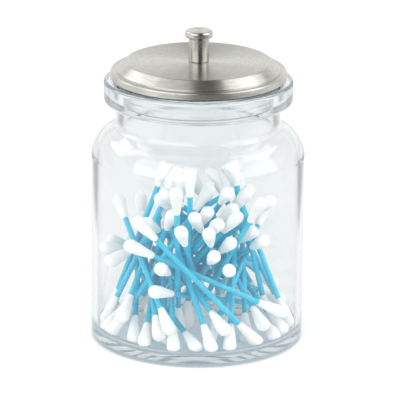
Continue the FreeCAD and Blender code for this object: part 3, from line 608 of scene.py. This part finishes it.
class CANISTER_OT_seal_ring(bpy.types.Operator):
    """Model the soft clear seal: a flange on the rim and a sleeve with two wiping lips"""
    bl_idname = "canister.seal_ring"
    bl_label = "Seal Ring"

    def execute(self, context):
        s = sizes()
        flange, foot, top = reach("seal_ring")
        inner = s.plug + s.fit
        sleeve = inner + s.seal_wall
        lip = s.mouth - s.seal_room
        flange_foot = top - s.seal_flange
        corners = [(inner, top, 0), (inner, foot, 0), (sleeve, foot, 0.2 * MM)]
        for number in (2, 1):
            crest = flange_foot - number * s.lip_pitch
            corners += [(sleeve, crest - s.lip / 2, 0), (lip, crest, 0.15 * MM),
                        (sleeve, crest + s.lip / 2, 0)]
        corners += [(sleeve, flange_foot, 0.15 * MM), (flange, flange_foot, 0.3 * MM),
                    (flange, top, 0.3 * MM)]
        ring = turned("seal_ring_clear", corners, closed=True)
        seat(ring, "lid", clear_silicone(), "seal_ring")
        return {"FINISHED"}


class CANISTER_OT_knob(bpy.types.Operator):
    """Turn the steel knob: straight stem, fine groove, rounded cap and a tapped hole below"""
    bl_idname = "canister.knob"
    bl_label = "Knob"

    def execute(self, context):
        s = sizes()
        cap, foot, top = reach("knob")
        cap_foot = top - s.cap
        depth = foot + s.tap_depth
        knob = turned("knob_steel", [
            (0, depth + s.tap, 0), (s.tap, depth, 0), (s.tap, foot, 0), (s.stem, foot, 0.5 * MM),
            (s.stem, cap_foot - s.groove, 0.1 * MM), (s.stem - s.groove, cap_foot - s.groove, 0),
            (s.stem - s.groove, cap_foot, 0), (cap, cap_foot, 0.8 * s.cap_round),
            (cap, top, s.cap_round), (0, top, 0),
        ], steps=128)
        seat(knob, "lid", brushed_steel("stainless_steel_turned", 0.2, 0.2), "knob")
        return {"FINISHED"}


class CANISTER_OT_fasteners(bpy.types.Operator):
    """Finish the screw and washer under the plug"""
    bl_idname = "canister.fasteners"
    bl_label = "Screw and Washer"

    def execute(self, context):
        finish = zinc_plate()
        for node in ("knob_screw", "washer"):
            dress_object(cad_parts[node], finish)
        return {"FINISHED"}


# ---------------------------------------------------------------- swabs
def swab_axes(node):
    """Foot and head of every stick in a bundle, read from a merged copy of its CAD node."""
    pick(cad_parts[node])
    bpy.ops.object.duplicate()
    copy = bpy.context.object
    bpy.ops.object.mode_set(mode="EDIT")
    bpy.ops.mesh.select_all(action="SELECT")
    bpy.ops.mesh.remove_doubles(threshold=1e-6)
    bpy.ops.mesh.separate(type="LOOSE")
    bpy.ops.object.mode_set(mode="OBJECT")
    axes = []
    for part in list(bpy.context.selected_objects):
        points = [vertex.co.copy() for vertex in part.data.vertices]
        middle = sum(points, Vector()) / len(points)
        far = max(points, key=lambda point: (point - middle).length) - middle
        ends = [[point for point in points if side * (point - middle).dot(far) > 0] for side in (-1, 1)]
        axes.append(sorted((sum(end, Vector()) / len(end) for end in ends), key=lambda end: end.z))
        bpy.data.objects.remove(part)
    return axes


class CANISTER_OT_swabs(bpy.types.Operator):
    """Model one stick and a few cotton buds, and lay them along every swab of the CAD frame"""
    bl_idname = "canister.swabs"
    bl_label = "Cotton Swabs"

    def execute(self, context):
        s = sizes()
        chance = random.Random(11)
        stick = self.model_stick(s)
        buds = self.model_buds(s, chance)
        cotton = wound_cotton()
        plastic = blue_polypropylene()
        nodes = sorted(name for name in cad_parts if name.startswith("swab_sticks_"))
        for number, node in enumerate(nodes, start=1):
            axes = swab_axes(node)
            sticks = [laid(stick, foot, head, 0) for foot, head in axes]
            ends = [pair for foot, head in axes for pair in ((foot, head), (head, foot))]
            tips = [laid(chance.choice(buds), near, far, chance.uniform(0, 2 * math.pi))
                    for near, far in ends]
            seat(gathered(sticks, "sticks_%d" % number), "jar", plastic, node)
            seat(gathered(tips, "cotton_buds_%d" % number), "jar", cotton,
                 node.replace("sticks", "buds"))
        for spare in [stick] + buds:
            bpy.data.objects.remove(spare)
        return {"FINISHED"}

    def model_stick(self, s):
        """A stick along Z from the origin, with eased ends."""
        along = s.swab - 2 * s.bud_cover
        ease = 0.3 * MM
        return turned("stick_model", [
            (0, 0, 0), (s.stick, 0, ease), (s.stick, along, ease), (0, along, 0),
        ], steps=20, rounding_steps=2)

    def model_buds(self, s, chance):
        """Buds along Z, each wound a little differently; the origin is the end of the stick."""
        tip, end = -s.bud_cover, s.bud_length - s.bud_cover
        first = turned("bud_model", [
            (0, tip, 0), (0.97 * s.bud, tip, 0.93 * s.bud), (s.bud, tip + s.bud_peak, 10 * s.bud),
            (s.bud_neck, end, 0.3 * MM), (0, end, 0),
        ], steps=20, rounding_steps=6)
        lumps = bpy.data.textures.new("cotton_lumps", "CLOUDS")
        lumps.noise_scale = 3.5 * MM
        buds = []
        for number in range(6):
            bud = laid(first, Vector(), Vector((0, 0, 1)), 0)
            # Each bud is pressed in by another part of the cloud pattern.
            aside = Matrix.Translation((20 * MM * number, 0, 0))
            bud.data.transform(aside)
            apply_modifier(bud, "DISPLACE", texture=lumps, strength=0.4 * MM, mid_level=0.85)
            bud.data.transform(aside.inverted())
            buds.append(bud)
        bpy.data.objects.remove(first)
        return buds


def laid(model, start, end, roll):
    """Copy a model that stands on the origin along Z so that it runs from start towards end."""
    pick(model)
    bpy.ops.object.duplicate()
    copy = bpy.context.object
    turn = (end - start).to_track_quat("Z", "Y").to_matrix().to_4x4()
    copy.matrix_world = Matrix.Translation(start) @ turn @ Matrix.Rotation(roll, 4, "Z")
    return copy


def gathered(parts, name):
    pick(*parts)
    bpy.ops.object.transform_apply()
    bpy.ops.object.join()
    whole = bpy.context.object
    whole.name = name
    whole.data.name = name
    return whole


# ---------------------------------------------------------------- stage
def studio_world():
    """Soft surroundings: white all round, darker overhead and in a gap between the front lights."""
    world = bpy.data.worlds.new("studio")
    world.use_nodes = True
    tree = world.node_tree
    tree.nodes.clear()
    way = add_node(tree, "ShaderNodeTexCoord")
    path = add_node(tree, "ShaderNodeLightPath")
    split = add_node(tree, "ShaderNodeSeparateXYZ", links={0: way.outputs["Generated"]})
    height = add_node(tree, "ShaderNodeMapRange", {"From Min": 0.3, "From Max": 0.8},
                      {"Value": split.outputs[2]})
    sky = add_node(tree, "ShaderNodeMix", {
        "data_type": "RGBA", 6: (1.08, 1.08, 1.08, 1), 7: (0.14, 0.14, 0.14, 1)},
        {0: height.outputs[0]})
    # The gap is dark to steel that mirrors it, but not through the glass.
    gap = add_node(tree, "ShaderNodeVectorMath", {"operation": "DOT_PRODUCT", 1: GAP},
                   {0: way.outputs["Generated"]})
    near_gap = add_node(tree, "ShaderNodeMapRange", {"From Min": 0.6, "From Max": 0.85},
                        {"Value": gap.outputs["Value"]})
    mirrored = add_node(tree, "ShaderNodeMath", {"operation": "SUBTRACT", "use_clamp": True},
                        {0: near_gap.outputs[0], 1: path.outputs["Is Transmission Ray"]})
    shade = add_node(tree, "ShaderNodeMix", {"data_type": "RGBA", 7: (0.06, 0.06, 0.06, 1)},
                     {0: mirrored.outputs[0], 6: sky.outputs[2]})
    # Seen straight, the backdrop is plain white from every side.
    seen = add_node(tree, "ShaderNodeMix", {"data_type": "RGBA", 7: (1.0, 1.0, 1.0, 1)},
                    {0: path.outputs["Is Camera Ray"], 6: shade.outputs[2]})
    light = add_node(tree, "ShaderNodeBackground", links={"Color": seen.outputs[2]})
    add_node(tree, "ShaderNodeOutputWorld", links={"Surface": light.outputs[0]})
    return world


class CANISTER_OT_stage(bpy.types.Operator):
    """Set up the white floor, the soft lights and the camera"""
    bl_idname = "canister.stage"
    bl_label = "Stage"

    def execute(self, context):
        scene = context.scene
        scene.view_settings.view_transform = "Standard"
        # Light is turned back and forth many times inside a glass wall before it leaves it.
        for kind in ("max", "transmission", "glossy", "transparent_max"):
            setattr(scene.cycles, kind + "_bounces", 32)
        scene.world = studio_world()
        bpy.ops.object.select_all(action="DESELECT")
        bpy.ops.mesh.primitive_plane_add(size=6, location=(0, 0, 0))
        floor = context.object
        floor.name = "studio_floor"
        dress_object(floor, lit_acrylic())
        self.soft_box("left_box", (-0.76, 0.50, 0.92), (0.75, 0.75), 1.75)
        self.soft_box("top_box", (-0.44, 0.00, 1.25), (0.5, 0.7), 1.05)
        self.soft_box("right_box", (0.66, 0.30, 1.10), (0.85, 0.8), 1.7)
        self.soft_box("front_left_box", (-0.90, -1.00, 0.80), (1.9, 1.6), 1.5)
        self.soft_box("front_right_box", (1.25, -0.50, 0.80), (1.5, 1.6), 1.4)
        # The fill reaches into the pile of swabs, and no steel or glass mirrors it.
        fill = self.soft_box("front_fill", (0.10, -1.60, 0.60), (0.6, 0.6), 4.5)
        fill.visible_glossy = False
        fill.visible_transmission = False
        self.add_camera(scene)
        return {"FINISHED"}

    def soft_box(self, name, place, sides, brightness):
        """A rectangular lamp that looks at the jar; brightness is what a mirror would show."""
        bpy.ops.object.light_add(type="AREA", location=place)
        lamp = bpy.context.object
        lamp.name = name
        lamp.data.shape = "RECTANGLE"
        lamp.data.size, lamp.data.size_y = sides
        lamp.data.energy = math.pi * sides[0] * sides[1] * brightness
        aim = Vector((0, 0, 0.06)) - Vector(place)
        lamp.rotation_euler = aim.to_track_quat("-Z", "Y").to_euler()
        return lamp

    def add_camera(self, scene):
        """A long lens a little above the shoulder of the jar, looking down at it."""
        rise = math.radians(17.6)
        away = 1.5
        aim = Vector((0.001, 0, 0.0587))
        place = aim + away * Vector((0, -math.cos(rise), math.sin(rise)))
        bpy.ops.object.camera_add(location=place)
        camera = bpy.context.object
        level = (aim - place).to_track_quat("-Z", "Y")
        camera.rotation_euler = (level @ Quaternion((0, 0, 1), math.radians(0.5))).to_euler()
        camera.data.lens = 322
        camera.data.sensor_width = 36
        camera.data.clip_end = 20
        scene.camera = camera


# ---------------------------------------------------------------- add-on
OPERATORS = (
    CANISTER_OT_jar, CANISTER_OT_lid_shell, CANISTER_OT_lid_plug, CANISTER_OT_seal_ring,
    CANISTER_OT_knob, CANISTER_OT_fasteners, CANISTER_OT_swabs, CANISTER_OT_stage,
)


class CANISTER_PT_panel(bpy.types.Panel):
    """Sizes, colours and pieces of the canister"""
    bl_idname = "CANISTER_PT_panel"
    bl_label = "Glass Canister"
    bl_space_type = "VIEW_3D"
    bl_region_type = "UI"
    bl_category = "Canister"

    def draw(self, context):
        layout = self.layout
        for group in (context.scene.canister_sizes, context.scene.canister_colours):
            column = layout.column(align=True)
            for name in group.bl_rna.properties.keys():
                if name not in ("rna_type", "name"):
                    column.prop(group, name)
        column = layout.column(align=True)
        for operator in OPERATORS:
            column.operator(operator.bl_idname)


CLASSES = (CanisterSizes, CanisterColours) + OPERATORS + (CANISTER_PT_panel,)


def register():
    for item in CLASSES:
        bpy.utils.register_class(item)
    bpy.types.Scene.canister_sizes = bpy.props.PointerProperty(type=CanisterSizes)
    bpy.types.Scene.canister_colours = bpy.props.PointerProperty(type=CanisterColours)


def unregister():
    del bpy.types.Scene.canister_colours
    del bpy.types.Scene.canister_sizes
    for item in reversed(CLASSES):
        bpy.utils.unregister_class(item)


def main():
    register()
    for operator in OPERATORS:
        getattr(bpy.ops.canister, operator.bl_idname.split(".")[1])()


if __name__ == "__main__":
    main()
